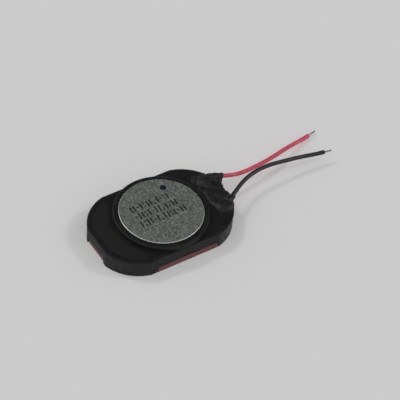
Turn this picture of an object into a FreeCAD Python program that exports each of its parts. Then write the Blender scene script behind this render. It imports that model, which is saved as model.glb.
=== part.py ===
"""Oval 18 x 12 mm dynamic micro speaker, lying face down, with two short stripped leads.

Millimetres. +Z up, origin on the plane that the front rim stands on, under the middle of the
body. +X is the long axis, towards the end where the leads come out. The magnet pot is on top.
"""
import FreeCAD
import Part

import math
import os

V = FreeCAD.Vector
UP = V(0, 0, 1)

# Outline of the body: a box cut off by four large corner arcs
BODY_LENGTH = 18.0
BODY_WIDTH = 12.0
CORNER_RADIUS = 5.8
CORNER_X = 3.5
CORNER_Y = 0.35

# Heights of the moulded frame
LEDGE_Z = 1.10
CEILING_Z = 1.90
STEP_Z = 2.14
BACK_Z = 2.42
FLANGE_OUT = 0.05
EDGE_CHAMFER = 0.10
SKIRT_IN = 0.45
LEDGE_IN = 0.95
HUB_RADIUS = 5.75
HUB_Z = 1.45

# Collar that stands round the magnet pot
COLLAR_RADIUS = 5.95
COLLAR_TOP_Z = 3.07
COLLAR_ROUND = 0.20
COLLAR_BORE_CHAMFER = 0.10

# Magnet system
POT_RADIUS = 5.25
POT_WALL = 0.70
POT_BACK = 0.45
POT_TOP_Z = 3.20
POT_RIM_Z = 1.65
POT_ROUND = 0.10
POT_GLUE = 0.02
LIP_RADIUS = 4.85
MAGNET_RADIUS = 3.65
MAGNET_HEIGHT = 0.70
TOP_PLATE_RADIUS = 3.75

# Moving parts
COIL_INNER = 3.95
COIL_OUTER = 4.30
COIL_HEIGHT = 1.20
FILM = 0.05
PLATE_IN = 1.66
DOME_RADIUS = 3.80
DOME_HEIGHT = 0.25
ROLL_OUT = 1.00
ROLL_IN = 1.65
ROLL_DEPTH = 0.33
ROLL_SLOPE = 0.20

# Front side
PART_GAP = 0.05
RING_THICKNESS = 0.10
COVER_Z = 0.02
COVER_THICKNESS = 0.30
MESH_IN = 1.00
MESH_THICKNESS = 0.06
WINDOW_HEIGHT = 0.90
LONG_WINDOW = 8.40
END_WINDOW = 3.60
WINDOW_FLARE = 0.15
LONG_WINDOW_SHIFT = 0.30
END_WINDOW_SHIFT = 0.35
TONGUE_STEP_Z = 0.45
TONGUE_RECESS = 0.0
TONGUE_LOWER_RECESS = 0.03
END_TONGUE_RECESS = 0.20
SOUND_HOLE_RADIUS = 0.55
SOUND_HOLE_PITCH = 2.20
SOUND_ROW_PITCH = 1.90

# Rear vents and the cloth over them
VENT_RADIUS = 0.40
VENT_CIRCLE = 7.0
VENT_STEP_DEG = 18.0
CLOTH_THICKNESS = 0.08
CLOTH_INNER_RADIUS = 6.30
CLOTH_IN = 0.70
CLOTH_END_X = -4.90

# Terminals
RECESS_X = 6.55
RECESS_HALF_WIDTH = 3.60
RECESS_CORNER = 0.70
RECESS_FLOOR_Z = 2.00
BLOCK_X = 6.30
BLOCK_HALF_WIDTH = 3.95
BOARD_X = 6.70
BOARD_END_X = 8.85
BOARD_HALF_WIDTH = 3.30
BOARD_THICKNESS = 0.12
PAD_X = 7.75
PAD_Y = 2.35
PAD_SIZE_X = 1.50
PAD_SIZE_Y = 1.50
PAD_THICKNESS = 0.03
SOLDER_RADIUS = 0.70
SOLDER_HEIGHT = 0.42
WIRE_HOLE_X = 7.35
WIRE_HOLE_Y = 2.20
WIRE_HOLE_RADIUS = 0.20
COIL_WIRE_RADIUS = 0.04
SEALANT_TOP_Z = 2.78
SEALANT_ROUND = 0.25
SEALANT_END_X = 9.15

# Leads: insulation over a bundle of fine strands
LEAD_RADIUS = 0.27
STRAND_RADIUS = 0.11
RUN_SHARE = 0.45

RED_JOINT = (7.75, 2.62, 2.36)
RED_ROUTE = [
    (8.30, 2.52, 2.47),
    (9.40, 2.08, 2.60),
    (10.50, 1.74, 2.50),
    (11.80, 1.60, 2.16),
    (13.20, 1.69, 1.86),
    (14.90, 1.88, 1.73),
    (16.80, 2.14, 1.62),
    (18.80, 2.62, 1.41),
    (20.80, 3.24, 1.09),
    (22.70, 3.77, 0.67),
    (24.00, 4.08, 0.43),
    (24.88, 4.27, 0.38),
]
RED_TIP = (26.13, 4.60, 0.36)

BLACK_JOINT = (7.85, -2.28, 2.36)
BLACK_ROUTE = [
    (8.50, -1.92, 2.50),
    (10.00, -1.17, 2.58),
    (11.60, -0.21, 2.54),
    (13.20, 0.37, 2.56),
    (14.90, 0.69, 2.55),
    (16.60, 0.71, 2.46),
    (18.50, 0.60, 2.22),
    (20.60, 0.50, 1.93),
    (22.60, 0.23, 1.67),
    (24.23, 0.01, 1.55),
]
BLACK_TIP = (25.30, -0.14, 1.50)

COIL_WIRE_ROUTE = [
    (4.27, 0.80, 1.15),
    (5.20, 1.25, 1.145),
    (6.30, 1.80, 1.145),
    (7.00, 2.12, 1.15),
    (7.36, 2.20, 1.50),
    (7.36, 2.20, 2.20),
]


def oval_wire(inset, z):
    """The body's outline moved inwards by inset, as a closed wire of lines and arcs."""
    half_x = BODY_LENGTH / 2 - inset
    half_y = BODY_WIDTH / 2 - inset
    radius = CORNER_RADIUS - inset
    end_y = CORNER_Y + math.sqrt(radius**2 - (half_x - CORNER_X) ** 2)
    side_x = CORNER_X + math.sqrt(radius**2 - (half_y - CORNER_Y) ** 2)
    middle_x = CORNER_X + radius * math.cos(math.pi / 4)
    middle_y = CORNER_Y + radius * math.sin(math.pi / 4)
    edges = []
    corners = [(1, 1), (-1, 1), (-1, -1), (1, -1)]
    for index, (sx, sy) in enumerate(corners):
        end = V(sx * half_x, sy * end_y, z)
        side = V(sx * side_x, sy * half_y, z)
        middle = V(sx * middle_x, sy * middle_y, z)
        first, last = (end, side) if index % 2 == 0 else (side, end)
        if edges:
            edges.append(Part.makeLine(edges[-1].Vertexes[-1].Point, first))
        edges.append(Part.Arc(first, middle, last).toShape())
    edges.append(Part.makeLine(edges[-1].Vertexes[-1].Point, edges[0].Vertexes[0].Point))
    return Part.Wire(edges)


def oval(inset, z_low, z_high):
    """A prism of the body's outline."""
    return Part.Face(oval_wire(inset, z_low)).extrude(V(0, 0, z_high - z_low))


def oval_ring(outer_inset, inner_inset, z_low, z_high):
    """A ring between two insets of the outline."""
    return oval(outer_inset, z_low, z_high).cut(oval(inner_inset, z_low, z_high))


def oval_taper(inset_high, z_high, inset_low, z_low):
    """A solid whose outline shrinks or grows evenly between two heights."""
    return Part.makeLoft([oval_wire(inset_low, z_low), oval_wire(inset_high, z_high)], True, True)


def disc(radius, z_low, z_high, x=0.0, y=0.0):
    return Part.makeCylinder(radius, z_high - z_low, V(x, y, z_low), UP)


def tube(outer, inner, z_low, z_high):
    return disc(outer, z_low, z_high).cut(disc(inner, z_low, z_high))


def block(x_low, x_high, half_width, z_low, z_high):
    """A box that is symmetric about the long axis."""
    corner = V(x_low, -half_width, z_low)
    return Part.makeBox(x_high - x_low, 2 * half_width, z_high - z_low, corner)


def turned(edges):
    """A solid of revolution about Z from the edges of a closed half section."""
    return Part.Face(Part.Wire(edges)).revolve(V(0, 0, 0), UP, 360)


def half_section(points):
    """Straight edges from point to point, each (radius, z), and back to the first."""
    corners = [V(r, 0, z) for r, z in points]
    return [Part.makeLine(a, b) for a, b in zip(corners, corners[1:] + corners[:1])]


def quarter_round(start, end, centre, radius):
    """An arc from start to end, each (radius, z), that bulges away from centre."""
    middle = V((start[0] + end[0]) / 2 - centre[0], 0, (start[1] + end[1]) / 2 - centre[1])
    middle.normalize()
    via = V(centre[0], 0, centre[1]) + middle * radius
    return Part.Arc(V(start[0], 0, start[1]), via, V(end[0], 0, end[1])).toShape()


def window(length, depth_low, depth_high, z_low, z_high, gap=0.0):
    """A block on the +Y side, depth_low to depth_high from the middle, with flared ends."""
    half_low = length / 2 + WINDOW_FLARE - gap
    half_high = length / 2 - gap
    corners = [(-half_low, z_low), (half_low, z_low), (half_high, z_high), (-half_high, z_high)]
    points = [V(x, depth_low, z) for x, z in corners]
    face = Part.Face(Part.makePolygon(points + points[:1]))
    return face.extrude(V(0, depth_high - depth_low, 0))


def on_four_sides(make):
    """make(length, half_size) on the two long flats and on the two end flats, off their middles."""
    shapes = []
    sides = [
        (LONG_WINDOW, BODY_WIDTH / 2, 0, -LONG_WINDOW_SHIFT),
        (END_WINDOW, BODY_LENGTH / 2, 90, END_WINDOW_SHIFT),
    ]
    for length, half_size, angle, shift in sides:
        for turn in (0, 180):
            shape = make(length, half_size)
            shape.translate(V(shift, 0, 0))
            shape.rotate(V(0, 0, 0), UP, angle + turn)
            shapes.append(shape)
    return shapes


def vent_places():
    """Centres of the vent holes, on an arc round the magnet system, away from the leads."""
    places = []
    for step in range(-2, 3):
        angle = math.radians(180 + step * VENT_STEP_DEG)
        places.append((VENT_CIRCLE * math.cos(angle), VENT_CIRCLE * math.sin(angle)))
    return places


def cloth_prism(z_low, z_high):
    """The crescent that the vent cloth fills."""
    crescent = oval(CLOTH_IN, z_low, z_high).cut(disc(CLOTH_INNER_RADIUS, z_low, z_high))
    return crescent.common(block(-BODY_LENGTH, CLOTH_END_X, BODY_WIDTH, z_low, z_high))


def recess_prism(end_x, z_low, z_high):
    """The terminal recess, open at the end where the leads come out."""
    shape = block(RECESS_X, end_x, RECESS_HALF_WIDTH, z_low, z_high)
    corners = [e for e in shape.Edges if abs(e.CenterOfMass.x - RECESS_X) < 1e-6]
    upright = [e for e in corners if abs(e.tangentAt(e.FirstParameter).z) > 0.5]
    return shape.makeFillet(RECESS_CORNER, upright)


def collar():
    base = BACK_Z - EDGE_CHAMFER
    inner = POT_RADIUS + POT_GLUE
    shoulder = COLLAR_TOP_Z - COLLAR_ROUND
    round_start = (COLLAR_RADIUS, shoulder)
    round_end = (COLLAR_RADIUS - COLLAR_ROUND, COLLAR_TOP_Z)
    points = [
        round_end,
        (inner + COLLAR_BORE_CHAMFER, COLLAR_TOP_Z),
        (inner, COLLAR_TOP_Z - COLLAR_BORE_CHAMFER),
        (inner, base),
        (COLLAR_RADIUS, base),
        round_start,
    ]
    edges = half_section(points)[:-1]
    centre = (COLLAR_RADIUS - COLLAR_ROUND, shoulder)
    edges.append(quarter_round(round_start, round_end, centre, COLLAR_ROUND))
    return turned(edges)


def frame():
    flange = oval(0.0, STEP_Z, BACK_Z)
    top_edges = [e for e in flange.Edges if min(v.Z for v in e.Vertexes) > BACK_Z - 1e-6]
    body = oval(FLANGE_OUT, 0.0, STEP_Z).fuse(flange.makeChamfer(EDGE_CHAMFER, top_edges))
    body = body.cut(oval(SKIRT_IN, 0.0, LEDGE_Z))
    cavity = oval(LEDGE_IN, LEDGE_Z, CEILING_Z)
    cavity = cavity.cut(disc(HUB_RADIUS, HUB_Z, CEILING_Z))
    cavity = cavity.cut(block(BLOCK_X, BODY_LENGTH, BLOCK_HALF_WIDTH, HUB_Z, CEILING_Z))
    body = body.cut(cavity)
    body = body.cut(disc(LIP_RADIUS, LEDGE_Z, POT_RIM_Z))
    body = body.cut(disc(POT_RADIUS + POT_GLUE, POT_RIM_Z, BACK_Z))
    body = body.fuse(collar())
    body = body.cut(recess_prism(BODY_LENGTH, RECESS_FLOOR_Z, BACK_Z))
    for side in (-1, 1):
        body = body.cut(disc(WIRE_HOLE_RADIUS, HUB_Z, RECESS_FLOOR_Z, WIRE_HOLE_X, side * WIRE_HOLE_Y))
    body = body.cut(cloth_prism(BACK_Z - CLOTH_THICKNESS, BACK_Z))
    for x, y in vent_places():
        body = body.cut(disc(VENT_RADIUS, CEILING_Z, BACK_Z, x, y))
    for opening in on_four_sides(
        lambda length, half: window(length, half - 2 * SKIRT_IN, half, 0.0, WINDOW_HEIGHT)
    ):
        body = body.cut(opening)
    return body.removeSplitter()


def yoke():
    rounded = POT_RADIUS - POT_ROUND
    start = (POT_RADIUS, POT_TOP_Z - POT_ROUND)
    end = (rounded, POT_TOP_Z)
    inner_z = POT_TOP_Z - POT_BACK
    wall = POT_RADIUS - POT_WALL
    points = [end, (0, POT_TOP_Z), (0, inner_z), (wall, inner_z), (wall, POT_RIM_Z)]
    edges = half_section(points + [(POT_RADIUS, POT_RIM_Z), start])[:-1]
    edges.append(quarter_round(start, end, (rounded, start[1]), POT_ROUND))
    return turned(edges)


def magnet():
    top = POT_TOP_Z - POT_BACK
    return disc(MAGNET_RADIUS, top - MAGNET_HEIGHT, top)


def top_plate():
    return disc(TOP_PLATE_RADIUS, POT_RIM_Z, POT_TOP_Z - POT_BACK - MAGNET_HEIGHT)


def voice_coil():
    return tube(COIL_OUTER, COIL_INNER, LEDGE_Z, LEDGE_Z + COIL_HEIGHT)


def dome_cap(base_z):
    """A shallow cap that bulges towards the front, under a flat base."""
    rim = V(DOME_RADIUS, 0, base_z)
    apex = V(0, 0, base_z - DOME_HEIGHT)
    sphere = (DOME_RADIUS**2 + DOME_HEIGHT**2) / (2 * DOME_HEIGHT)
    half_angle = math.asin(DOME_RADIUS / sphere) / 2
    centre_z = apex.z + sphere
    via = V(sphere * math.sin(half_angle), 0, centre_z - sphere * math.cos(half_angle))
    centre = V(0, 0, base_z)
    arc = Part.Arc(rim, via, apex).toShape()
    return turned([Part.makeLine(centre, rim), arc, Part.makeLine(apex, centre)])


def diaphragm():
    film = oval(PLATE_IN, LEDGE_Z - FILM, LEDGE_Z).fuse(dome_cap(LEDGE_Z - FILM))
    return film.cut(dome_cap(LEDGE_Z))


def roll(shift):
    """The trough of the surround, moved up and narrowed by shift."""
    high = LEDGE_Z - FILM + shift
    low = high - ROLL_DEPTH
    outer = oval_taper(ROLL_OUT + shift, high, ROLL_OUT + ROLL_SLOPE + shift, low)
    inner = oval_taper(ROLL_IN - shift, high, ROLL_IN - ROLL_SLOPE - shift, low)
    return outer.cut(inner)


def surround():
    rim = oval_ring(SKIRT_IN + PART_GAP, ROLL_IN, LEDGE_Z - FILM, LEDGE_Z)
    return rim.fuse(roll(0.0)).cut(roll(FILM))


def clamp_ring():
    top = LEDGE_Z - FILM
    return oval_ring(SKIRT_IN + PART_GAP, LEDGE_IN, top - RING_THICKNESS, top)


def front_cover():
    plate_top = COVER_Z + COVER_THICKNESS
    skirt_top = LEDGE_Z - FILM - RING_THICKNESS
    inset = SKIRT_IN + PART_GAP
    cover = oval(inset, COVER_Z, plate_top)
    cover = cover.fuse(oval_ring(inset, LEDGE_IN, plate_top, skirt_top))
    levels = [
        (COVER_Z, TONGUE_STEP_Z, TONGUE_LOWER_RECESS),
        (TONGUE_STEP_Z, WINDOW_HEIGHT - PART_GAP, TONGUE_RECESS),
    ]
    for low, high, recess in levels:
        def tongue(length, half):
            back = recess + (END_TONGUE_RECESS if length == END_WINDOW else 0.0)
            return window(length, half - LEDGE_IN + PART_GAP, half - back, low, high, 2 * PART_GAP)
        for shape in on_four_sides(tongue):
            cover = cover.fuse(shape)
    for row, count in ((-1, 4), (0, 5), (1, 4)):
        for index in range(count):
            x = (index - (count - 1) / 2) * SOUND_HOLE_PITCH
            cover = cover.cut(disc(SOUND_HOLE_RADIUS, COVER_Z, plate_top, x, row * SOUND_ROW_PITCH))
    return cover.removeSplitter()


def dust_mesh():
    low = COVER_Z + COVER_THICKNESS
    return oval(MESH_IN, low, low + MESH_THICKNESS)


def vent_cloth():
    return cloth_prism(BACK_Z - CLOTH_THICKNESS, BACK_Z)


def terminal_board():
    top = RECESS_FLOOR_Z + BOARD_THICKNESS
    board = block(BOARD_X, BOARD_END_X, BOARD_HALF_WIDTH, RECESS_FLOOR_Z, top)
    board = board.common(oval(2 * FLANGE_OUT, RECESS_FLOOR_Z, top))
    for side in (-1, 1):
        board = board.cut(disc(WIRE_HOLE_RADIUS, RECESS_FLOOR_Z, top, WIRE_HOLE_X, side * WIRE_HOLE_Y))
    return board


def pad(side):
    low = RECESS_FLOOR_Z + BOARD_THICKNESS
    corner = V(PAD_X - PAD_SIZE_X / 2, side * PAD_Y - PAD_SIZE_Y / 2, low)
    plate = Part.makeBox(PAD_SIZE_X, PAD_SIZE_Y, PAD_THICKNESS, corner)
    plate = plate.common(oval(4 * FLANGE_OUT, low, low + PAD_THICKNESS))
    top = low + PAD_THICKNESS
    return plate.cut(disc(WIRE_HOLE_RADIUS, low, top, WIRE_HOLE_X, side * WIRE_HOLE_Y))


def solder(side):
    """A low dome of solder on its pad."""
    base = RECESS_FLOOR_Z + BOARD_THICKNESS + PAD_THICKNESS
    sphere = (SOLDER_RADIUS**2 + SOLDER_HEIGHT**2) / (2 * SOLDER_HEIGHT)
    centre = V(PAD_X - 0.05, side * PAD_Y, base + SOLDER_HEIGHT - sphere)
    latitude = math.degrees(math.asin((sphere - SOLDER_HEIGHT) / sphere))
    return Part.makeSphere(sphere, centre, UP, latitude, 90, 360)


def tangent_path(points):
    """Straight runs joined by tangent arcs, each as large as its two runs allow."""
    corners = [V(*p) for p in points]
    edges = []
    radii = []
    start = corners[0]
    for before, corner, after in zip(corners, corners[1:], corners[2:]):
        back = (before - corner).normalize()
        ahead = (after - corner).normalize()
        turn = math.pi - back.getAngle(ahead)
        cut_back = RUN_SHARE * min((corner - before).Length, (after - corner).Length)
        radius = cut_back / math.tan(turn / 2)
        first = corner + back * cut_back
        last = corner + ahead * cut_back
        bisector = (back + ahead).normalize()
        centre = corner + bisector * math.hypot(radius, cut_back)
        middle = centre - bisector * radius
        edges.append(Part.LineSegment(start, first).toShape())
        edges.append(Part.Arc(first, middle, last).toShape())
        radii.append(radius)
        start = last
    edges.append(Part.LineSegment(start, corners[-1]).toShape())
    return Part.Wire(edges), radii


def round_tube(points, radius, name):
    """A round bar along the path. Its volume is compared with section times length."""
    path, radii = tangent_path(points)
    start = V(*points[0])
    direction = V(*points[1]) - start
    section = Part.Wire(Part.makeCircle(radius, start, direction))
    bar = path.makePipeShell([section], True, False)
    ratio = bar.Volume / (math.pi * radius**2 * path.Length)
    tightest = min(radii) / (2 * radius)
    print(f"{name}: length {path.Length:.2f}, volume ratio {ratio:.4f}, tightest {tightest:.1f} dia")
    print(f"{name}: arc radii {[round(r, 1) for r in radii]}")
    return bar


def strands(joint, route, tip, name):
    return round_tube([joint] + route + [tip], STRAND_RADIUS, name)


def insulation(route, core, name):
    return round_tube(route, LEAD_RADIUS, name).cut(core)


def sealant(embedded):
    """The sealing compound over the terminals, with what it covers cut out of it."""
    shape = recess_prism(BODY_LENGTH, RECESS_FLOOR_Z, SEALANT_TOP_Z)
    shape = shape.common(oval(-FLANGE_OUT, RECESS_FLOOR_Z, SEALANT_TOP_Z))
    top_edges = [e for e in shape.Edges if min(v.Z for v in e.Vertexes) > SEALANT_TOP_Z - 1e-6]
    shape = shape.makeChamfer(SEALANT_ROUND, top_edges)
    for piece in embedded:
        shape = shape.cut(piece)
    wire_top = SEALANT_TOP_Z - 0.5
    for side in (-1, 1):
        y = side * WIRE_HOLE_Y
        shape = shape.cut(disc(WIRE_HOLE_RADIUS, RECESS_FLOOR_Z, wire_top, WIRE_HOLE_X, y))
    return shape


def coil_wire(side, name):
    route = [(x, side * y, z) for x, y, z in COIL_WIRE_ROUTE]
    return round_tube(route, COIL_WIRE_RADIUS, name)


def build():
    red_core = strands(RED_JOINT, RED_ROUTE, RED_TIP, "red_lead_strands")
    black_core = strands(BLACK_JOINT, BLACK_ROUTE, BLACK_TIP, "black_lead_strands")
    red = insulation(RED_ROUTE, red_core, "red_lead")
    black = insulation(BLACK_ROUTE, black_core, "black_lead")
    positive_wire = coil_wire(1, "coil_wire_positive")
    negative_wire = coil_wire(-1, "coil_wire_negative")
    board = terminal_board()
    positive_solder = solder(1).cut(red_core).cut(positive_wire)
    negative_solder = solder(-1).cut(black_core).cut(negative_wire)
    embedded = [board, pad(1), pad(-1), solder(1), solder(-1)]
    embedded += [red_core, black_core, red, black]
    return {
        "frame": frame(),
        "yoke": yoke(),
        "magnet": magnet(),
        "top_plate": top_plate(),
        "voice_coil": voice_coil(),
        "diaphragm": diaphragm(),
        "surround": surround(),
        "clamp_ring": clamp_ring(),
        "front_cover": front_cover(),
        "dust_mesh": dust_mesh(),
        "vent_cloth": vent_cloth(),
        "terminal_board": board,
        "pad_positive": pad(1),
        "pad_negative": pad(-1),
        "solder_positive": positive_solder,
        "solder_negative": negative_solder,
        "sealant": sealant(embedded),
        "coil_wire_positive": positive_wire,
        "coil_wire_negative": negative_wire,
        "red_lead": red,
        "red_lead_strands": red_core,
        "black_lead": black,
        "black_lead_strands": black_core,
    }


def main():
    os.makedirs("parts", exist_ok=True)
    for name, shape in build().items():
        box = shape.BoundBox
        print(
            f"{name}: solids {len(shape.Solids)}, valid {shape.isValid()}, volume {shape.Volume:.3f},"
            f" x {box.XMin:.2f} {box.XMax:.2f}, y {box.YMin:.2f} {box.YMax:.2f},"
            f" z {box.ZMin:.2f} {box.ZMax:.2f}"
        )
        shape.exportStep(f"parts/{name}.step")


main()
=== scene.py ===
"""Looks of the oval micro speaker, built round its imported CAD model. Lengths in metres."""

import math

import bmesh
import bpy
from mathutils import Matrix, Vector, noise


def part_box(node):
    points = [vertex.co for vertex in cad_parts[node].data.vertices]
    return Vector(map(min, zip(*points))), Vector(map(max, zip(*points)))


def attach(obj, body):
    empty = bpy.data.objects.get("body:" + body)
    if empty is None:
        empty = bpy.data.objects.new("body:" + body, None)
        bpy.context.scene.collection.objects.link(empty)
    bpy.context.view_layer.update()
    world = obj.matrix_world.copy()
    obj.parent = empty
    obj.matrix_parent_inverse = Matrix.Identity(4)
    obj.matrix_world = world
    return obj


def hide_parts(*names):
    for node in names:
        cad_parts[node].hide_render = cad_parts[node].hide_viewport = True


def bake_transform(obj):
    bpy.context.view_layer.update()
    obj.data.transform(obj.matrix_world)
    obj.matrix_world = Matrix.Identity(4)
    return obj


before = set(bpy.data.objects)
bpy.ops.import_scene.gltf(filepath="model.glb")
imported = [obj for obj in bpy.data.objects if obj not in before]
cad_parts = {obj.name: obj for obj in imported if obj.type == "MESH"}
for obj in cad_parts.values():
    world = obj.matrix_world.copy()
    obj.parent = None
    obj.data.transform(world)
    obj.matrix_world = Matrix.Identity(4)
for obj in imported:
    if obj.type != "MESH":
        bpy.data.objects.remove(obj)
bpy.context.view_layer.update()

MM = 0.001
ROOT = "root"
MOVING = "moving_assembly"

# Camera, as an orbit about the origin and then a shift to the right and up: radians and metres
CAMERA_AZIMUTH = -0.6362
CAMERA_ELEVATION = 0.8205
CAMERA_ROLL = 0.1041
CAMERA_DISTANCE = 0.24433
CAMERA_ASIDE = (0.0048954, 0.0034497)
CAMERA_LENS = 180.0

# Towards each light, and its strength
KEY_DIRECTION = (-0.339, 0.652, 1.0)
KEY_STRENGTH = 0.46
SIDE_DIRECTION = (0.933, -0.442, 1.0)
SIDE_STRENGTH = 0.36
LIGHT_ANGLE = 0.18
ROOM_LIGHT = 0.60
# The dark side of the room, which the flat tops of the body mirror
DARK_DIRECTION = (0.405, 0.548, 0.73)
DARK_EDGES = (0.70, 0.93)
DARK_LIGHT = 0.06
FLOOR_GREY = 0.67
FLOOR_GLOW = 0.162
FLOOR_HALF = 0.6

# Outline of the body, as in the CAD model
BODY_LENGTH = 18.0
BODY_WIDTH = 12.0
CORNER_RADIUS = 5.8
CORNER_X = 3.5
CORNER_Y = 0.35

# Points round an outline: on each corner arc, on each half of a flat, and in all
PER_ARC = 30
PER_HALF_FLAT = 10
ALL_ROUND = 4 * (PER_ARC + 2 * PER_HALF_FLAT)

# Faces that meet more sharply than this are shaded as an edge
SHARP_ANGLE = math.radians(38)


# ------------------------------------------------------------------ camera, light, floor

def turned_to(direction):
    return Vector(direction).to_track_quat("Z", "Y").to_matrix().to_4x4()


def make_camera():
    flat = math.cos(CAMERA_ELEVATION)
    back = Vector((
        math.sin(CAMERA_AZIMUTH) * flat,
        -math.cos(CAMERA_AZIMUTH) * flat,
        math.sin(CAMERA_ELEVATION),
    ))
    across = Vector((0, 0, 1)).cross(back).normalized()
    upward = back.cross(across)
    c, s = math.cos(CAMERA_ROLL), math.sin(CAMERA_ROLL)
    right = c * across + s * upward
    up = c * upward - s * across
    aside, lift = CAMERA_ASIDE
    place = aside * right + lift * up + CAMERA_DISTANCE * back
    data = bpy.data.cameras.new("camera")
    data.lens = CAMERA_LENS
    data.sensor_width = 36.0
    data.clip_start = 0.01
    camera = bpy.data.objects.new("camera", data)
    camera.matrix_world = Matrix((
        (right.x, up.x, back.x, place.x),
        (right.y, up.y, back.y, place.y),
        (right.z, up.z, back.z, place.z),
        (0, 0, 0, 1),
    ))
    bpy.context.scene.collection.objects.link(camera)
    bpy.context.scene.camera = camera


def make_sun(name, direction, strength, colour):
    data = bpy.data.lights.new(name, "SUN")
    data.energy = strength
    data.angle = LIGHT_ANGLE
    data.color = colour
    sun = bpy.data.objects.new(name, data)
    sun.matrix_world = turned_to(direction)
    bpy.context.scene.collection.objects.link(sun)


def make_light():
    make_sun("key_light", KEY_DIRECTION, KEY_STRENGTH, (1.0, 0.97, 0.90))
    make_sun("side_light", SIDE_DIRECTION, SIDE_STRENGTH, (1.0, 0.98, 0.96))
    world = bpy.data.worlds.new("studio")
    world.use_nodes = True
    tree = world.node_tree
    background = tree.nodes["Background"]
    background.inputs["Color"].default_value = (0.975, 0.985, 1.0, 1)
    facing = tree.nodes.new("ShaderNodeVectorMath")
    facing.operation = "DOT_PRODUCT"
    facing.inputs[1].default_value = DARK_DIRECTION
    tree.links.new(tree.nodes.new("ShaderNodeTexCoord").outputs["Generated"], facing.inputs[0])
    fade = tree.nodes.new("ShaderNodeMapRange")
    fade.interpolation_type = "SMOOTHSTEP"
    values = (*DARK_EDGES, ROOM_LIGHT, DARK_LIGHT)
    for key, value in zip(("From Min", "From Max", "To Min", "To Max"), values):
        fade.inputs[key].default_value = value
    tree.links.new(facing.outputs["Value"], fade.inputs["Value"])
    tree.links.new(fade.outputs["Result"], background.inputs["Strength"])
    bpy.context.scene.world = world
    bpy.context.scene.view_settings.view_transform = "Standard"


def make_floor():
    mesh = bpy.data.meshes.new("floor")
    corners = [(x * FLOOR_HALF, y * FLOOR_HALF, 0) for x, y in ((-1, -1), (1, -1), (1, 1), (-1, 1))]
    mesh.from_pydata(corners, [], [(0, 1, 2, 3)])
    floor = bpy.data.objects.new("floor", mesh)
    bpy.context.scene.collection.objects.link(floor)
    look = Look("floor_paper", (FLOOR_GREY,) * 3, 0.9)
    look.set(Specular_IOR_Level=0.2, Emission_Color=(1, 1, 1, 1), Emission_Strength=FLOOR_GLOW)
    look.bump(look.noise(900, 3), 0.00001, 0.1)
    mesh.materials.append(look.material)


# ------------------------------------------------------------------ materials

class Look:
    """A material on the Principled shader, with helpers for its procedural detail."""

    def __init__(self, name, colour, roughness, metallic=0.0):
        self.material = bpy.data.materials.new(name)
        self.material.use_nodes = True
        self.tree = self.material.node_tree
        self.shader = self.tree.nodes["Principled BSDF"]
        self.shader.inputs["Base Color"].default_value = (*colour, 1)
        self.shader.inputs["Roughness"].default_value = roughness
        self.shader.inputs["Metallic"].default_value = metallic
        self.place = self.node("ShaderNodeTexCoord").outputs["Object"]

    def node(self, kind, **settings):
        made = self.tree.nodes.new(kind)
        for key, value in settings.items():
            setattr(made, key, value)
        return made

    def link(self, source, target):
        self.tree.links.new(source, target)

    def set(self, **values):
        """Plain values on the shader's own sockets, spaces as underscores."""
        for key, value in values.items():
            self.shader.inputs[key.replace("_", " ")].default_value = value

    def stretched(self, scale):
        """Object coordinates stretched by (x, y, z)."""
        mapping = self.node("ShaderNodeMapping")
        mapping.inputs["Scale"].default_value = scale
        self.link(self.place, mapping.inputs["Vector"])
        return mapping.outputs["Vector"]

    def noise(self, scale, detail=4.0, distortion=0.0, place=None):
        texture = self.node("ShaderNodeTexNoise")
        texture.inputs["Scale"].default_value = scale
        texture.inputs["Detail"].default_value = detail
        texture.inputs["Distortion"].default_value = distortion
        self.link(place or self.place, texture.inputs["Vector"])
        return texture.outputs["Fac"]

    def cells(self, scale):
        texture = self.node("ShaderNodeTexVoronoi")
        texture.inputs["Scale"].default_value = scale
        self.link(self.place, texture.inputs["Vector"])
        return texture.outputs["Distance"]

    def math(self, operation, first, second=None):
        made = self.node("ShaderNodeMath", operation=operation)
        for socket, value in zip(made.inputs, (first, second)):
            if isinstance(value, (int, float)):
                socket.default_value = value
            elif value is not None:
                self.link(value, socket)
        return made.outputs[0]

    def spread(self, value, low, high, to_low, to_high):
        """value from low..high mapped to to_low..to_high, and held there outside."""
        made = self.node("ShaderNodeMapRange")
        self.link(value, made.inputs["Value"])
        for key, number in zip(("From Min", "From Max", "To Min", "To Max"), (low, high, to_low, to_high)):
            made.inputs[key].default_value = number
        return made.outputs["Result"]

    def tint(self, value, dark, light, low=0.35, high=0.65):
        """Base colour that runs from dark to light as value goes from low to high."""
        ramp = self.node("ShaderNodeValToRGB")
        ramp.color_ramp.elements[0].position = low
        ramp.color_ramp.elements[0].color = (*dark, 1)
        ramp.color_ramp.elements[1].position = high
        ramp.color_ramp.elements[1].color = (*light, 1)
        self.link(value, ramp.inputs["Fac"])
        self.link(ramp.outputs["Color"], self.shader.inputs["Base Color"])

    def rough(self, value, low, high):
        """Roughness that runs from low to high with the value."""
        self.link(self.spread(value, 0.3, 0.7, low, high), self.shader.inputs["Roughness"])

    def bump(self, height, distance, strength=1.0):
        """Adds a bump on top of those already there."""
        made = self.node("ShaderNodeBump")
        made.inputs["Strength"].default_value = strength
        made.inputs["Distance"].default_value = distance
        self.link(height, made.inputs["Height"])
        normal = self.shader.inputs["Normal"]
        if normal.links:
            self.link(normal.links[0].from_socket, made.inputs["Normal"])
        self.link(made.outputs["Normal"], normal)


def frame_plastic():
    look = Look("frame_plastic", (0.011, 0.0112, 0.0125), 0.5)
    mottle = look.noise(900, 6, 0.4)
    look.tint(mottle, (0.0055, 0.0057, 0.0066), (0.0115, 0.0117, 0.013))
    look.rough(look.noise(2500, 4), 0.40, 0.60)
    look.bump(look.noise(11000, 4), 0.000012, 0.6)
    look.bump(look.noise(1500, 3), 0.00003, 0.5)
    look.set(Specular_IOR_Level=0.26)
    return look.material


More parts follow.
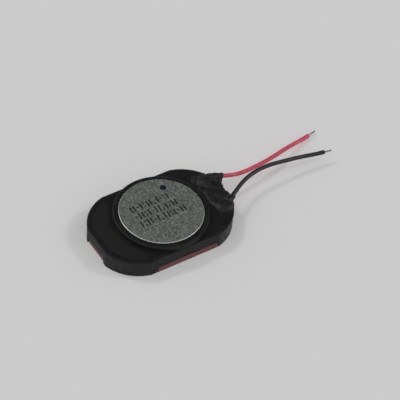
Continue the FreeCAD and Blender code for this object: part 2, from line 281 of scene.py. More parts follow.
def pot_nickel():
    look = Look("pot_nickel", (0.6, 0.61, 0.57), 0.4, 1.0)
    blotches = look.noise(3600, 9, 0.3)
    look.tint(blotches, (0.49, 0.515, 0.475), (0.72, 0.745, 0.70))
    look.rough(look.noise(3500, 5), 0.30, 0.46)
    look.bump(look.noise(9000, 5), 0.00001, 0.5)
    look.bump(look.noise(600, 3, 0.5), 0.00003, 0.35)
    return look.material


def magnet_nickel():
    look = Look("magnet_nickel", (0.6, 0.6, 0.58), 0.2, 1.0)
    look.rough(look.noise(2000, 5), 0.14, 0.3)
    look.bump(look.noise(4000, 4), 0.000008, 0.4)
    return look.material


def soft_iron():
    look = Look("soft_iron", (0.42, 0.42, 0.43), 0.35, 1.0)
    rings = look.noise(4000, 4, place=look.stretched((1, 0.08, 1)))
    look.tint(rings, (0.36, 0.36, 0.37), (0.47, 0.47, 0.48))
    look.bump(rings, 0.000006, 0.5)
    return look.material


def enamelled_copper():
    look = Look("enamelled_copper", (0.5, 0.19, 0.07), 0.3, 0.9)
    look.tint(look.noise(2500, 3), (0.42, 0.14, 0.05), (0.58, 0.24, 0.09))
    look.rough(look.noise(6000, 3), 0.22, 0.4)
    look.set(Coat_Weight=0.5)
    return look.material


def clear_film():
    look = Look("clear_film", (0.62, 0.55, 0.42), 0.18)
    look.tint(look.noise(500, 4), (0.56, 0.48, 0.34), (0.68, 0.62, 0.5))
    look.bump(look.noise(2500, 3), 0.00001, 0.5)
    look.set(Transmission_Weight=0.55, IOR=1.6)
    return look.material


def ring_brass():
    look = Look("ring_brass", (0.6, 0.43, 0.18), 0.32, 1.0)
    look.tint(look.noise(900, 5), (0.52, 0.35, 0.13), (0.68, 0.5, 0.23))
    look.rough(look.noise(3000, 4), 0.25, 0.42)
    look.bump(look.noise(6000, 4), 0.00001, 0.4)
    return look.material


def cover_red():
    look = Look("cover_red", (0.16, 0.05, 0.055), 0.5)
    look.tint(look.noise(1100, 6, 0.5), (0.12, 0.037, 0.042), (0.17, 0.056, 0.06))
    look.rough(look.noise(3000, 4), 0.4, 0.6)
    look.bump(look.noise(9000, 4), 0.000012, 0.6)
    return look.material


def woven_black(name, pitch):
    """A plain weave in the XY plane. pitch is the distance between threads."""
    look = Look(name, (0.012, 0.012, 0.013), 0.75)
    split = look.node("ShaderNodeSeparateXYZ")
    look.link(look.place, split.inputs["Vector"])
    waves = []
    for axis in ("X", "Y"):
        turned = look.math("MULTIPLY", split.outputs[axis], math.pi / pitch)
        waves.append(look.math("ABSOLUTE", look.math("SINE", turned)))
    over = look.math("MAXIMUM", waves[0], waves[1])
    # Painted shade: the colour follows the weave's height, darkest in the low spots between threads and
    # lightest on the threads' crowns
    look.tint(over, (0.004, 0.004, 0.005), (0.013, 0.0132, 0.0145), 0.5, 1.0)
    look.set(Specular_IOR_Level=0.3)
    look.bump(over, pitch * 0.25, 0.9)
    look.bump(look.noise(0.6 / pitch, 3), pitch * 0.2, 0.4)
    return look.material


def mesh_thread():
    look = Look("mesh_thread", (0.016, 0.016, 0.018), 0.5)
    look.tint(look.noise(6000, 3), (0.01, 0.01, 0.011), (0.024, 0.024, 0.027))
    look.rough(look.noise(9000, 3), 0.4, 0.62)
    return look.material


def board_laminate():
    look = Look("board_laminate", (0.06, 0.13, 0.06), 0.4)
    weave = look.noise(5000, 2, place=look.stretched((1, 0.15, 1)))
    look.tint(weave, (0.045, 0.1, 0.045), (0.075, 0.16, 0.07))
    look.bump(weave, 0.00001, 0.4)
    look.set(Coat_Weight=0.3)
    return look.material


def pad_copper():
    look = Look("pad_copper", (0.72, 0.5, 0.3), 0.3, 1.0)
    look.tint(look.noise(1500, 4), (0.66, 0.42, 0.24), (0.78, 0.6, 0.4))
    look.bump(look.noise(7000, 4), 0.000008, 0.4)
    return look.material


def solder_metal():
    look = Look("solder", (0.6, 0.6, 0.6), 0.28, 1.0)
    look.rough(look.cells(4000), 0.18, 0.4)
    look.bump(look.noise(3000, 4), 0.00002, 0.5)
    return look.material


def sealant_black():
    look = Look("sealant_black", (0.009, 0.0092, 0.0105), 0.3)
    look.tint(look.noise(1400, 4), (0.007, 0.0072, 0.0085), (0.012, 0.0122, 0.014))
    look.rough(look.noise(1200, 3), 0.36, 0.56)
    look.bump(look.noise(1500, 2), 0.00003, 0.2)
    look.set(Specular_IOR_Level=0.36)
    return look.material


def lead_plastic(name, dark, light):
    look = Look(name, light, 0.36)
    look.tint(look.noise(900, 3), dark, light)
    look.rough(look.noise(2500, 3), 0.28, 0.46)
    look.bump(look.noise(2200, 3, place=look.stretched((0.25, 1, 1))), 0.000018, 0.5)
    look.set(Subsurface_Weight=0.15, Subsurface_Scale=0.0003)
    return look.material


def tinned_strands():
    look = Look("tinned_strands", (0.3, 0.3, 0.3), 0.34, 1.0)
    look.tint(look.noise(2500, 3), (0.22, 0.215, 0.21), (0.4, 0.4, 0.4))
    look.rough(look.noise(5000, 3), 0.26, 0.46)
    return look.material


def print_ink():
    look = Look("print_ink", (0.016, 0.017, 0.02), 0.55)
    look.tint(look.noise(5000, 4), (0.007, 0.0075, 0.011), (0.026, 0.028, 0.034), 0.4, 0.8)
    look.set(Specular_IOR_Level=0.3)
    return look.material


def dot_ink():
    look = Look("dot_ink", (0.006, 0.006, 0.02), 0.35)
    look.tint(look.noise(4000, 3), (0.005, 0.005, 0.016), (0.011, 0.01, 0.032))
    return look.material


def paint(obj, material):
    """Gives the object one material in place of what it had."""
    obj.data.materials.clear()
    obj.data.materials.append(material)


# ------------------------------------------------------------------ mesh building

def piece(name, verts, faces, material, body, replaces=()):
    """A smooth-shaded mesh piece from points in millimetres. A piece given no body is attached to none."""
    mesh = bpy.data.meshes.new(name)
    mesh.from_pydata([Vector(v) * MM for v in verts], [], faces)
    mesh.validate()
    tidy = bmesh.new()
    tidy.from_mesh(mesh)
    bmesh.ops.recalc_face_normals(tidy, faces=tidy.faces)
    tidy.to_mesh(mesh)
    tidy.free()
    mesh.shade_smooth()
    mesh.set_sharp_from_angle(angle=SHARP_ANGLE)
    mesh.materials.append(material)
    obj = bpy.data.objects.new(name, mesh)
    bpy.context.scene.collection.objects.link(obj)
    if body:
        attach(obj, body)
    if replaces:
        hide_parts(*replaces)
    return obj


def loft(rings, closed=False):
    """Quads between rings of equal length. closed joins the last ring to the first."""
    count = len(rings[0])
    verts = [point for ring in rings for point in ring]
    faces = []
    spans = len(rings) if closed else len(rings) - 1
    for i in range(spans):
        a = i * count
        b = (i + 1) % len(rings) * count
        for j in range(count):
            k = (j + 1) % count
            faces.append((a + j, a + k, b + k, b + j))
    if not closed:
        faces.append(tuple(reversed(range(count))))
        faces.append(tuple(range(len(verts) - count, len(verts))))
    return verts, faces


def circle(radius, z, count=96):
    return [
        (radius * math.cos(a), radius * math.sin(a), z)
        for a in (2 * math.pi * i / count for i in range(count))
    ]


def merged(parts):
    """Several (verts, faces) as one."""
    verts, faces = [], []
    for more_verts, more_faces in parts:
        shift = len(verts)
        verts += more_verts
        faces += [tuple(i + shift for i in face) for face in more_faces]
    return verts, faces


def route_line(points, name):
    """Points of a smooth NURBS line through a route, in millimetres."""
    curve = bpy.data.curves.new(name, "CURVE")
    curve.dimensions = "3D"
    curve.resolution_u = 16
    spline = curve.splines.new("NURBS")
    spline.points.add(len(points) - 1)
    for control, place in zip(spline.points, points):
        control.co = (*place, 1)
    spline.order_u = 3
    spline.use_endpoint_u = True
    holder = bpy.data.objects.new(name, curve)
    bpy.context.scene.collection.objects.link(holder)
    mesh = bpy.data.meshes.new_from_object(holder)
    line = [v.co.copy() for v in mesh.vertices]
    bpy.data.objects.remove(holder)
    bpy.data.curves.remove(curve)
    bpy.data.meshes.remove(mesh)
    return line


class Line:
    """A polyline that can be asked for a point and a steady frame at any length along it."""

    def __init__(self, points):
        self.points = points
        self.at = [0.0]
        for a, b in zip(points, points[1:]):
            self.at.append(self.at[-1] + (b - a).length)
        self.length = self.at[-1]
        self.sides = []
        side = Vector((0, 0, 1))
        for i in range(len(points)):
            ahead = (points[min(i + 1, len(points) - 1)] - points[max(i - 1, 0)]).normalized()
            side = (side - ahead * side.dot(ahead)).normalized()
            self.sides.append((ahead, side))

    def spot(self, distance):
        """(point, direction, side) at a distance along the line, carried on past its ends."""
        i = 0
        while i < len(self.at) - 2 and self.at[i + 1] < distance:
            i += 1
        share = (distance - self.at[i]) / (self.at[i + 1] - self.at[i])
        point = self.points[i].lerp(self.points[i + 1], share)
        held = min(max(share, 0.0), 1.0)
        ahead = self.sides[i][0].lerp(self.sides[i + 1][0], held).normalized()
        side = self.sides[i][1].lerp(self.sides[i + 1][1], held)
        side = (side - ahead * side.dot(ahead)).normalized()
        return point, ahead, side

    def nearest(self, place):
        target = Vector(place)
        best = min(range(len(self.points)), key=lambda i: (self.points[i] - target).length)
        return self.at[best]

    def ring(self, distance, radius, sides, angle=0.0, offset=0.0):
        """A circle square to the line, its centre moved out by offset at that angle."""
        point, ahead, side = self.spot(distance)
        up = ahead.cross(side)
        centre = point + (side * math.cos(angle) + up * math.sin(angle)) * offset
        return [
            tuple(centre + (side * math.cos(a) + up * math.sin(a)) * radius)
            for a in (2 * math.pi * k / sides for k in range(sides))
        ]


def oval(inset, z):
    """The body's outline moved inwards by inset, as points round it from the +X end."""
    half_x = BODY_LENGTH / 2 - inset
    half_y = BODY_WIDTH / 2 - inset
    radius = CORNER_RADIUS - inset
    first = math.acos(min(1.0, (half_x - CORNER_X) / radius))
    last = math.asin(min(1.0, (half_y - CORNER_Y) / radius))
    quarter = []
    for i in range(PER_ARC + 1):
        a = first + (last - first) * i / PER_ARC
        quarter.append((CORNER_X + radius * math.cos(a), CORNER_Y + radius * math.sin(a)))
    start_y = quarter[0][1]
    end_x = quarter[-1][0]
    half_end = [(half_x, start_y * i / PER_HALF_FLAT) for i in range(PER_HALF_FLAT)]
    half_flat = [(end_x * (1 - i / PER_HALF_FLAT), half_y) for i in range(1, PER_HALF_FLAT)]
    upper_right = half_end + quarter + half_flat
    upper_left = [(-x, y) for x, y in reversed(upper_right[1:])]
    upper = upper_right + [(0.0, half_y)] + upper_left
    lower = [(-x, -y) for x, y in upper]
    return [(x, y, z) for x, y in upper + lower]


# ------------------------------------------------------------------ leads

LEAD_RADIUS = 0.27
BORE_RADIUS = 0.122
BORE_DEPTH = 0.5
END_ROUND = 0.03
LEAD_STEP = 0.09
LEAD_SIDES = 24
# How far the tube's wall swells, and how ragged its cut end is over its last stretch
LEAD_SWELL = 0.012
RAGGED_DEPTH = 0.03
RAGGED_LENGTH = 0.2
STRAND_RADIUS = 0.037
STRAND_STEP = 0.07
STRAND_SIDES = 8
# Length of one turn of the twist, and by how much the strands' ends differ
STRAND_LAY = 1.7
STRAND_END_GAP = 0.05
# Bare end: length over which the strands fan out, by how much, and their last ring's size
FAN_LENGTH = 0.9
FAN_WIDTH = 0.012
STRAND_TAPER = 0.75
# Each lead: where it is soldered, the route of its insulation, and its bare tip
RED_JOINT = (7.75, 2.62, 2.36)
RED_ROUTE = [
    (8.30, 2.52, 2.47),
    (9.40, 2.08, 2.60),
    (10.50, 1.74, 2.50),
    (11.80, 1.60, 2.16),
    (13.20, 1.69, 1.86),
    (14.90, 1.88, 1.73),
    (16.80, 2.14, 1.62),
    (18.80, 2.62, 1.41),
    (20.80, 3.24, 1.09),
    (22.70, 3.77, 0.67),
    (24.00, 4.08, 0.43),
    (24.88, 4.27, 0.38),
]
RED_TIP = (26.13, 4.60, 0.36)
BLACK_JOINT = (7.85, -2.28, 2.36)
BLACK_ROUTE = [
    (8.50, -1.92, 2.50),
    (10.00, -1.17, 2.58),
    (11.60, -0.21, 2.54),
    (13.20, 0.37, 2.56),
    (14.90, 0.69, 2.55),
    (16.60, 0.71, 2.46),
    (18.50, 0.60, 2.22),
    (20.60, 0.50, 1.93),
    (22.60, 0.23, 1.67),
    (24.23, 0.01, 1.55),
]
BLACK_TIP = (25.30, -0.14, 1.50)


def uneven(ring, line, distance, end, seed):
    """A ring of the tube swollen a little at random, and ragged where the tube was cut."""
    centre = sum((Vector(p) for p in ring), Vector()) / len(ring)
    ahead = line.spot(distance)[1]
    moved = []
    for p in ring:
        swell = LEAD_SWELL * noise.noise(Vector(p) * 0.9 + Vector((seed, 0, 0)))
        ragged = 0.0
        if distance > end - RAGGED_LENGTH:
            ragged = RAGGED_DEPTH * noise.noise(Vector(p) * 6 + Vector((0, seed, 0)))
        spot = Vector(p) + (Vector(p) - centre).normalized() * swell
        moved.append(tuple(spot + ahead * ragged))
    return moved


def insulation(line, start, end, seed):
    """A tube with a bore at each end, its wall a little uneven as soft plastic is."""
    rounded = LEAD_RADIUS - END_ROUND
    stations = [(start + BORE_DEPTH, BORE_RADIUS), (start, BORE_RADIUS), (start, rounded)]
    straight = end - start - 2 * END_ROUND
    steps = int((end - start) / LEAD_STEP)
    for i in range(steps + 1):
        stations.append((start + END_ROUND + straight * i / steps, LEAD_RADIUS))
    stations += [(end, rounded), (end, BORE_RADIUS), (end - BORE_DEPTH, BORE_RADIUS)]
    rings = []
    for distance, radius in stations:
        ring = line.ring(distance, radius, LEAD_SIDES)
        if radius == LEAD_RADIUS:
            ring = uneven(ring, line, distance, end, seed)
        rings.append(ring)
    return loft(rings)


def strands(line, seed):
    """Six strands twisted round a seventh, fanned a little and uneven at the tip."""
    parts = []
    for k in range(7):
        phase = 2 * math.pi * k / 6
        end = line.length - STRAND_END_GAP * (1 + noise.noise(Vector((seed, k * 1.7, 0.3))))
        steps = int(end / STRAND_STEP)
        rings = []
        for i in range(steps + 1):
            distance = end * i / steps
            near_tip = max(0.0, distance - (line.length - FAN_LENGTH)) / FAN_LENGTH
            fan = FAN_WIDTH * near_tip**2 * (1 + noise.noise(Vector((seed, k * 2.3, 1.1))))
            offset = 0.0 if k == 6 else 2 * STRAND_RADIUS - 0.001 + fan
            angle = phase + 2 * math.pi * distance / STRAND_LAY
            taper = STRAND_TAPER if i == steps else 1.0
            rings.append(line.ring(distance, STRAND_RADIUS * taper, STRAND_SIDES, angle, offset))
        parts.append(loft(rings))
    return merged(parts)


def make_lead(name, route, material, metal, seed):
    """One lead. The insulation covers the route but for its first and last stretch."""
    line = Line(route_line(route, name + "_route"))
    start, end = line.nearest(route[1]), line.nearest(route[-2])
    verts, faces = insulation(line, start, end, seed)
    piece(name + "_insulation", verts, faces, material, ROOT, [name])
    verts, faces = strands(line, seed)
    piece(name + "_twisted_strands", verts, faces, metal, ROOT, [name + "_strands"])


# ------------------------------------------------------------------ sealant

# The even bed in the recess, whose edges are hidden under the frame's walls
BED_LOW_Z = 2.0
BED_HIGH_Z = 2.44
BED_INNER_X = 6.46
BED_HALF_WIDTH = 3.72
# Waves in the skin: how many to the millimetre, and how high
SKIN_WAVES = ((1.3, 0.055), (3.2, 0.016))
# Lumps of the hand-applied bead: centre, then half sizes, in millimetres
SEALANT_LUMPS = [
    ((6.95, 2.70, 2.36), (0.85, 1.05, 0.16)),
    ((7.80, 2.22, 2.38), (1.18, 1.12, 0.41)),
    ((8.10, 1.10, 2.40), (0.95, 0.95, 0.28)),
    ((7.50, 0.25, 2.38), (1.15, 1.25, 0.24)),
    ((6.90, 1.20, 2.36), (0.70, 1.10, 0.14)),
    ((6.90, -0.90, 2.36), (0.70, 1.20, 0.14)),
    ((8.20, -0.60, 2.38), (0.90, 0.90, 0.27)),
    ((7.30, -1.50, 2.36), (1.00, 1.15, 0.22)),
    ((7.82, -2.25, 2.37), (1.20, 1.12, 0.43)),
    ((8.45, -1.70, 2.42), (0.80, 0.80, 0.32)),
    ((7.45, -3.00, 2.34), (1.05, 0.85, 0.14)),
    ((8.45, 2.55, 2.46), (0.80, 0.62, 0.40)),
    ((9.05, 2.28, 2.56), (0.80, 0.47, 0.41)),
    ((9.75, 2.00, 2.55), (0.62, 0.40, 0.40)),
    ((9.22, 1.66, 2.38), (0.62, 0.62, 0.34)),
    ((8.86, 0.95, 2.30), (0.58, 0.80, 0.33)),
    ((8.72, 0.10, 2.28), (0.52, 0.95, 0.31)),
    ((8.84, -0.85, 2.34), (0.52, 0.75, 0.34)),
    ((9.02, -1.62, 2.48), (0.66, 0.46, 0.37)),
    ((8.62, -1.84, 2.52), (0.62, 0.52, 0.40)),
]


def recess_fill():
    """The even bed of compound that fills the recess up to the frame's back."""
    rim = [(x, y) for x, y, z in oval(0.0, 0.0) if x > BED_INNER_X and abs(y) < BED_HALF_WIDTH]
    rim.sort(key=lambda spot: spot[1])
    corners = [(BED_INNER_X, -BED_HALF_WIDTH)] + rim + [(BED_INNER_X, BED_HALF_WIDTH)]
    return loft([[(x, y, z) for x, y in corners] for z in (BED_LOW_Z, BED_HIGH_Z)])


def ellipsoid(centre, half):
    made = bmesh.new()
    bmesh.ops.create_icosphere(made, subdivisions=3, radius=1.0)
    verts = [tuple(c + h * x for c, h, x in zip(centre, half, v.co)) for v in made.verts]
    faces = [tuple(v.index for v in f.verts) for f in made.faces]
    made.free()
    return verts, faces


def apply_modifiers(obj):
    graph = bpy.context.evaluated_depsgraph_get()
    mesh = bpy.data.meshes.new_from_object(obj.evaluated_get(graph))
    obj.modifiers.clear()
    obj.data = mesh


def make_sealant(material):
    """Overlapping lumps melted into one skin: remeshed, smoothed and made slightly uneven."""
    lumps = [ellipsoid(centre, half) for centre, half in SEALANT_LUMPS]
    verts, faces = merged([recess_fill()] + lumps)
    mesh = bpy.data.meshes.new("sealant_bead")
    mesh.from_pydata(verts, [], faces)
    obj = bpy.data.objects.new("sealant_bead", mesh)
    bpy.context.scene.collection.objects.link(obj)
    remesh = obj.modifiers.new("melt", "REMESH")
    remesh.mode = "VOXEL"
    remesh.voxel_size = 0.055
    smooth = obj.modifiers.new("smooth", "SMOOTH")
    smooth.factor = 0.6
    smooth.iterations = 20
    bpy.context.view_layer.update()
    apply_modifiers(obj)
    normals = [v.normal.copy() for v in obj.data.vertices]
    for v, normal in zip(obj.data.vertices, normals):
        wave = sum(noise.noise(v.co * pace) * height for pace, height in SKIN_WAVES)
        v.co += normal * wave
        v.co.z = max(v.co.z, BED_LOW_Z)
    obj.data.transform(Matrix.Scale(MM, 4))
    obj.data.shade_smooth()
    paint(obj, material)
    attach(obj, ROOT)
    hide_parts("sealant")


# ------------------------------------------------------------------ coil, film and mesh

# As in the CAD model
COIL_INNER = 3.95
COIL_OUTER = 4.30
FILM = 0.05
FILM_Z = 1.05
PLATE_IN = 1.66
DOME_RADIUS = 3.80
DOME_HEIGHT = 0.25
RIM_IN = 0.50
ROLL_OUT = 1.00
ROLL_IN = 1.65
ROLL_DEPTH = 0.33
# The coil's wires, as in the CAD model too
COIL_WIRE_ROUTE = [
    (4.27, 0.80, 1.15),
    (5.20, 1.25, 1.145),
    (6.30, 1.80, 1.145),
    (7.00, 2.12, 1.15),
    (7.36, 2.20, 1.50),
    (7.36, 2.20, 2.20),
]
COIL_WIRE_RADIUS = 0.04
WIRE_STEP = 0.05
WIRE_SIDES = 10
# Rings of the flat film, as shares of the way from its edge to the dome
FLAT_SHARES = (0.0, 0.02, 0.25, 0.5, 0.75, 0.98)
DOME_RINGS = 14
DOME_TIP = 0.08
# The roll: flat film left beside it, steps across it, and how full its curve is
ROLL_MARGIN = 0.12
ROLL_STEPS = 16
ROLL_FULLNESS = 0.8
# Its ribs: their height, and how much they slant
RIB_HEIGHT = 0.014
RIB_SLANT = 9
# Dust mesh: how far in from the outline, distance between threads, and their radius
MESH_IN = 1.06
MESH_PITCH = 0.22
MESH_THREAD = 0.02
# Its sealed rim: thickness, and how far it reaches out and in from the threads' ends
MESH_RIM_THICKNESS = 0.07
MESH_RIM_OUT = 0.05
MESH_RIM_INTO = 0.22


def make_voice_coil(material):
    """Sixteen turns of round wire, seen as ridges on the inside and outside of the coil."""
    low, high = (corner.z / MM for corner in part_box("voice_coil"))
    turns = 16
    pitch = (high - low) / turns
    ridge = 0.42 * pitch
    outside, inside = [], []
    for step in range(4 * turns + 1):
        turn, part = divmod(step, 4)
        a = math.pi * (part / 4 - 0.5)
        bulge = ridge * (math.cos(a) - 1)
        height = low + pitch * (turn + 0.5 + 0.5 * math.sin(a))
        outside.append(circle(COIL_OUTER + bulge, height))
        inside.append(circle(COIL_INNER - bulge, height))
    verts, faces = loft(outside + inside[::-1], closed=True)
    piece("voice_coil_winding", verts, faces, material, MOVING, ["voice_coil"])


def make_diaphragm(material):
    """The flat film and its shallow dome, as one closed skin."""
    edge = oval(PLATE_IN, 0.0)
    turns = [math.atan2(y, x) for x, y, z in edge]
    sphere = (DOME_RADIUS**2 + DOME_HEIGHT**2) / (2 * DOME_HEIGHT)
    spread = []
    for share in FLAT_SHARES:
        spread.append([
            (x + (DOME_RADIUS * math.cos(a) - x) * share, y + (DOME_RADIUS * math.sin(a) - y) * share, 0.0)
            for (x, y, z), a in zip(edge, turns)
        ])
    for step in range(DOME_RINGS + 1):
        radius = max(DOME_RADIUS * (1 - step / DOME_RINGS), DOME_TIP)
        drop = sphere - DOME_HEIGHT - math.sqrt(sphere**2 - radius**2)
        spread.append([(radius * math.cos(a), radius * math.sin(a), drop) for a in turns])
    under = [[(x, y, FILM_Z + z) for x, y, z in ring] for ring in spread]
    over = [[(x, y, FILM_Z + FILM + z) for x, y, z in ring] for ring in spread]
    verts, faces = loft(under[::-1] + over)
    piece("diaphragm_film", verts, faces, material, MOVING, ["diaphragm"])


def surround_section():
    """(inset, height, share of the roll) round the film's cross-section, underside first."""
    under = [(RIM_IN, FILM_Z, 0.0), (ROLL_OUT - ROLL_MARGIN, FILM_Z, 0.0)]
    for step in range(ROLL_STEPS + 1):
        share = step / ROLL_STEPS
        under.append((
            ROLL_OUT + (ROLL_IN - ROLL_OUT) * (0.5 - 0.5 * math.cos(math.pi * share)),
            FILM_Z - ROLL_DEPTH * math.sin(math.pi * share) ** ROLL_FULLNESS,
            math.sin(math.pi * share),
        ))
    return under + [(inset, z + FILM, share) for inset, z, share in reversed(under)]


def make_surround(material):
    """The half-round roll with its slanting ribs, in separate stretches round the outline."""
    section = surround_section()
    loops = []
    for inset, z, share in section:
        ring = []
        for i, (x, y, height) in enumerate(oval(inset, z)):
            rib = RIB_HEIGHT * share * math.sin(math.pi / 2 * i + RIB_SLANT * inset)
            ring.append((x, y, height + rib))
        loops.append(ring)
    # Four flats and four arcs, each arc in three stretches
    quarter = ALL_ROUND // 4
    third = PER_ARC // 3
    starts = [quarter * k + PER_HALF_FLAT for k in range(4)]
    cuts = [start + third * k for start in starts for k in range(4)]
    cuts.append(cuts[0] + ALL_ROUND)
    for number, (first, last) in enumerate(zip(cuts, cuts[1:]), 1):
        rings = [[loop[i % ALL_ROUND] for loop in loops] for i in range(first, last + 1)]
        verts, faces = loft(rings)
        roll = piece(f"surround_{number:02d}", verts, faces, material, None, ["surround"])
        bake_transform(roll)


def make_coil_wire(side, name, material):
    """A fine wire from its pad to the coil."""
    line = Line(route_line([(x, side * y, z) for x, y, z in COIL_WIRE_ROUTE], name + "_route"))
    steps = int(line.length / WIRE_STEP)
    rings = [line.ring(line.length * i / steps, COIL_WIRE_RADIUS, WIRE_SIDES) for i in range(steps + 1)]
    verts, faces = loft(rings)
    wire = piece(name + "_wire", verts, faces, material, None, [name])
    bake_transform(wire)


def half_span(across, half_long, centre_long, centre_across):
    """Half the length, inside the dust mesh's outline, of a line at this distance from its middle."""
    beyond = abs(across) - centre_across
    if beyond <= 0:
        return half_long - MESH_IN
    radius = CORNER_RADIUS - MESH_IN
    return min(half_long - MESH_IN, centre_long + math.sqrt(max(radius**2 - beyond**2, 0.0)))


def thread(points, radius):
    """A four-sided thread through points, for a mesh of many."""
    spots = [Vector(point) for point in points]
    last = len(spots) - 1
    rings = []
    for i, spot in enumerate(spots):
        ahead = (spots[min(i + 1, last)] - spots[max(i - 1, 0)]).normalized()
        side = Vector((0, 0, 1)).cross(ahead).normalized() * radius
        up = ahead.cross(side)
        rings.append([tuple(spot + shift) for shift in (side, up, -side, -up)])
    return loft(rings)


def weave_threads(turned, middle):
    """The threads of the dust mesh that run along X, or along Y if turned."""
    half_long, half_across = BODY_LENGTH / 2, BODY_WIDTH / 2
    centre_long, centre_across = CORNER_X, CORNER_Y
    if turned:
        half_long, half_across = half_across, half_long
        centre_long, centre_across = centre_across, centre_long
    most = int((half_across - MESH_IN) / MESH_PITCH)
    threads = []
    for number in range(-most, most + 1):
        across = number * MESH_PITCH
        count = int(2 * half_span(across, half_long, centre_long, centre_across) / MESH_PITCH)
        points = []
        for step in range(2 * count + 1):
            pitches = (step - count) / 2
            wave = MESH_THREAD * math.cos(math.pi * (pitches + number))
            if turned:
                points.append((across, pitches * MESH_PITCH, middle - wave))
            else:
                points.append((pitches * MESH_PITCH, across, middle + wave))
        threads.append(thread(points, MESH_THREAD))
    return threads


def make_dust_mesh(material):
    """A plain weave of fine threads behind the sound holes, with its sealed rim."""
    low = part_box("dust_mesh")[0].z / MM
    high = low + MESH_RIM_THICKNESS
    parts = []
    for turned in (False, True):
        parts += weave_threads(turned, low + 2 * MESH_THREAD)
    outside, inside = MESH_IN - MESH_RIM_OUT, MESH_IN + MESH_RIM_INTO
    rim = [oval(outside, low), oval(outside, high), oval(inside, high), oval(inside, low)]
    parts.append(loft(rim, closed=True))
    verts, faces = merged(parts)
    piece("dust_mesh_weave", verts, faces, material, ROOT, ["dust_mesh"])


def softened(node, width):
    """Rounds a CAD node's hard edges by width, in metres, without touching its mesh."""
    weld = node.modifiers.new("weld", "WELD")
    weld.merge_threshold = 1e-6
    flat = node.modifiers.new("flat", "DECIMATE")
    flat.decimate_type = "DISSOLVE"
    flat.angle_limit = math.radians(0.5)
    edge = node.modifiers.new("edge", "BEVEL")
    edge.width = width
    edge.segments = 3
    edge.limit_method = "ANGLE"
    edge.angle_limit = math.radians(50)
    edge.harden_normals = True
    edge.use_clamp_overlap = False


# ------------------------------------------------------------------ print on the pot

# Place of each row across the pot, along Y, and its marks
PRINT_ROWS = [
    (1.80, "||-|:||.|-:|"),
    (0.46, "-||:|-||.|:||"),
    (-0.86, "|:||-|.||:|-||"),
]
PRINT_X = -3.20
DOT_CENTRE = (2.17, 3.16)
DOT_RADIUS = 0.40
# From the dot's edge inwards: share of its radius, and how high the ink stands there
DOT_PROFILE = ((1.0, 0.0), (0.93, 0.006), (0.6, 0.009), (0.15, 0.010))


def print_box(x_low, x_high, y_low, y_high, z):
    """A thin bar of ink with its upper edges drawn in."""
    thick = 0.006
    inset = 0.012
    low = [(x_low, y_low, z), (x_high, y_low, z), (x_high, y_high, z), (x_low, y_high, z)]
    high = [
        (x_low + inset, y_low + inset, z + thick),
        (x_high - inset, y_low + inset, z + thick),
        (x_high - inset, y_high - inset, z + thick),
        (x_low + inset, y_high - inset, z + thick),
    ]
    return loft([low, high])


def make_print(material, top_z):
    """Three rows of plain strokes, dashes and points, which spell nothing."""
    stroke = 0.20
    tall = 0.98
    pitch = 0.46
    # The two points of a colon: their near and far ends, from the middle of the row
    near = 0.16
    far = 0.34
    parts = []
    for y, marks in PRINT_ROWS:
        for place, mark in enumerate(marks):
            x = PRINT_X + place * pitch
            low, high = y - tall / 2, y + tall / 2
            spans = {
                "|": [(low, high)],
                "-": [(y - stroke / 2, y + stroke / 2)],
                ":": [(y - far, y - near), (y + near, y + far)],
                ".": [(low, low + stroke)],
            }
            wide = stroke if mark == "|" else 1.3 * stroke
            for bottom, top in spans[mark]:
                parts.append(print_box(x - wide / 2, x + wide / 2, bottom, top, top_z))
    verts, faces = merged(parts)
    piece("print_marks", verts, faces, material, ROOT)


def make_dot(material, top_z):
    """The polarity dot: a spot of ink with an uneven edge."""
    centre_x, centre_y = DOT_CENTRE
    rings = []
    for share, lift in DOT_PROFILE:
        ring = []
        for x, y, z in circle(DOT_RADIUS * share, top_z + lift, 40):
            swell = 1 + 0.05 * noise.noise(Vector((x, y, 0)).normalized() * 1.7)
            ring.append((centre_x + x * swell, centre_y + y * swell, z))
        rings.append(ring)
    verts, faces = loft(rings)
    piece("polarity_dot", verts, faces, material, ROOT)


# ------------------------------------------------------------------ everything

# CAD nodes that show as they are, and how far their hard edges are rounded, in metres
SOFT_EDGES = [
    ("frame", 0.00003),
    ("yoke", 0.00003),
    ("magnet", 0.00004),
    ("top_plate", 0.00003),
    ("clamp_ring", 0.00002),
    ("front_cover", 0.00002),
    ("vent_cloth", 0.000015),
    ("terminal_board", 0.00001),
]


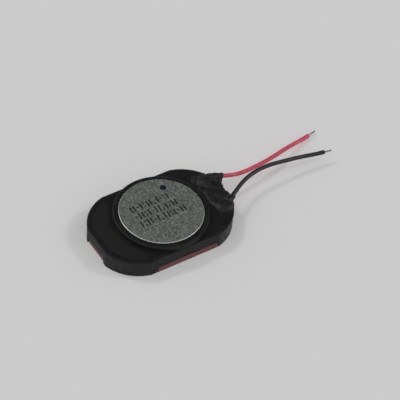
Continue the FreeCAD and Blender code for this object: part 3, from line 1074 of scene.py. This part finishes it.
def make_materials():
    return {
        "frame": frame_plastic(),
        "yoke": pot_nickel(),
        "magnet": magnet_nickel(),
        "top_plate": soft_iron(),
        "voice_coil": enamelled_copper(),
        "diaphragm": clear_film(),
        "clamp_ring": ring_brass(),
        "front_cover": cover_red(),
        "dust_mesh": mesh_thread(),
        "vent_cloth": woven_black("vent_cloth", 0.00012),
        "terminal_board": board_laminate(),
        "pad": pad_copper(),
        "solder": solder_metal(),
        "sealant": sealant_black(),
        "red": lead_plastic("lead_red", (0.60, 0.055, 0.105), (0.76, 0.10, 0.17)),
        "black": lead_plastic("lead_black", (0.009, 0.0085, 0.011), (0.017, 0.016, 0.019)),
        "strands": tinned_strands(),
    }


def main():
    make_camera()
    make_light()
    make_floor()
    looks = make_materials()
    for name, slot, route, look, seed in (
        ("red_lead", "lead_red", [RED_JOINT, *RED_ROUTE, RED_TIP], "red", 3.0),
        ("black_lead", "lead_black", [BLACK_JOINT, *BLACK_ROUTE, BLACK_TIP], "black", 8.0),
    ):
        make_lead(name, route, looks[look], looks["strands"], seed)
    make_sealant(looks["sealant"])
    make_voice_coil(looks["voice_coil"])
    make_diaphragm(looks["diaphragm"])
    make_surround(looks["diaphragm"])
    for side, name in ((1, "coil_wire_positive"), (-1, "coil_wire_negative")):
        make_coil_wire(side, name, looks["voice_coil"])
    make_dust_mesh(looks["dust_mesh"])
    top_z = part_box("yoke")[1].z / MM
    make_print(print_ink(), top_z)
    make_dot(dot_ink(), top_z)
    # CAD nodes that share another's look. The rest have a look of their own name
    alike = {
        "surround": "diaphragm", "pad_positive": "pad", "pad_negative": "pad",
        "solder_positive": "solder", "solder_negative": "solder",
        "coil_wire_positive": "voice_coil", "coil_wire_negative": "voice_coil",
        "red_lead": "red", "black_lead": "black",
        "red_lead_strands": "strands", "black_lead_strands": "strands",
    }
    for name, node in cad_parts.items():
        paint(node, looks[alike.get(name, name)])
    for name, width in SOFT_EDGES:
        softened(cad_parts[name], width)


main()

bpy.context.view_layer.update()
